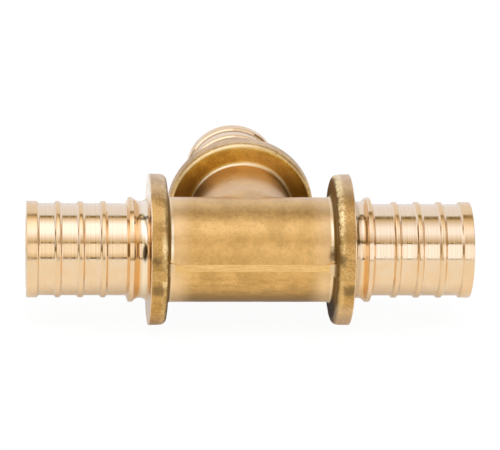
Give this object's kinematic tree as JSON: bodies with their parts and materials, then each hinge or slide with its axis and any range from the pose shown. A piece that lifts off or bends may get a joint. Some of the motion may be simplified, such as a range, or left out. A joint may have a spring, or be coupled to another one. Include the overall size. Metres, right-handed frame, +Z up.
{
  "type": "pex tee",
  "caption": "Brass tee for plastic pipe, with three ribbed spigots, each behind a round stop collar, around a plain barrel.",
  "frame": {"origin": "where the axis of the straight run meets the axis of the branch, in the middle of the barrel", "axes": "+X along the straight run, +Y out along the branch, +Z up, square to the forging's parting plane"},
  "size_m": [0.1174, 0.0845, 0.04],
  "materials": {
    "forged_brass": "satin as forged, bright turned ends"
  },
  "bodies": {
    "root": {"tee_body": "forged_brass"}
  },
  "joints": []
}
